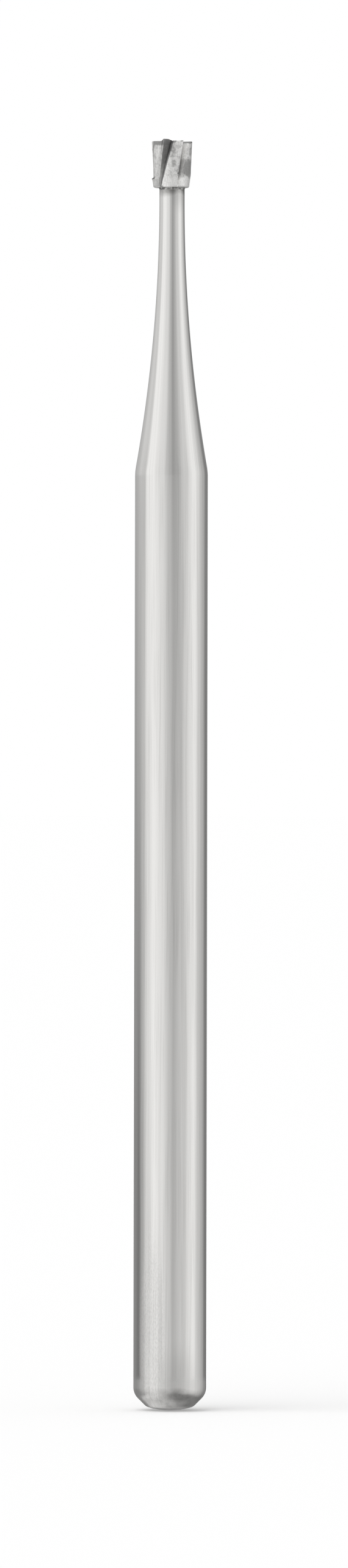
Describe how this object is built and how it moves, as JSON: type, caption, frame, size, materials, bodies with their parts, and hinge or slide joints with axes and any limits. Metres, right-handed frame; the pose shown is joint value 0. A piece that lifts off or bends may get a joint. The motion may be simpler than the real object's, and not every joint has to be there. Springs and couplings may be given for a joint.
{
  "type": "dental bur",
  "caption": "Slim steel dental bur: straight round shank, long concave neck, thin brazed joint and a small inverted-cone carbide head with right-hand spiral blades.",
  "frame": {"origin": "lowest point of the shank's rounded tail, on the bur's own axis", "axes": "+Z along the axis from the tail of the shank to the cutting end; -Y faces the camera of the source picture"},
  "size_m": [0.0024, 0.0024, 0.041],
  "materials": {
    "shank_steel": "ground and polished stainless steel with fine streaks along the axis, duller and speckled near the tail",
    "braze": "dull grey silver braze with darker beads of flux",
    "carbide": "ground tungsten carbide, mottled light and dark grey with fine grain along the axis"
  },
  "bodies": {
    "root": {"shank": "shank_steel", "braze_joint": "braze", "carbide_head": "carbide"}
  },
  "joints": []
}
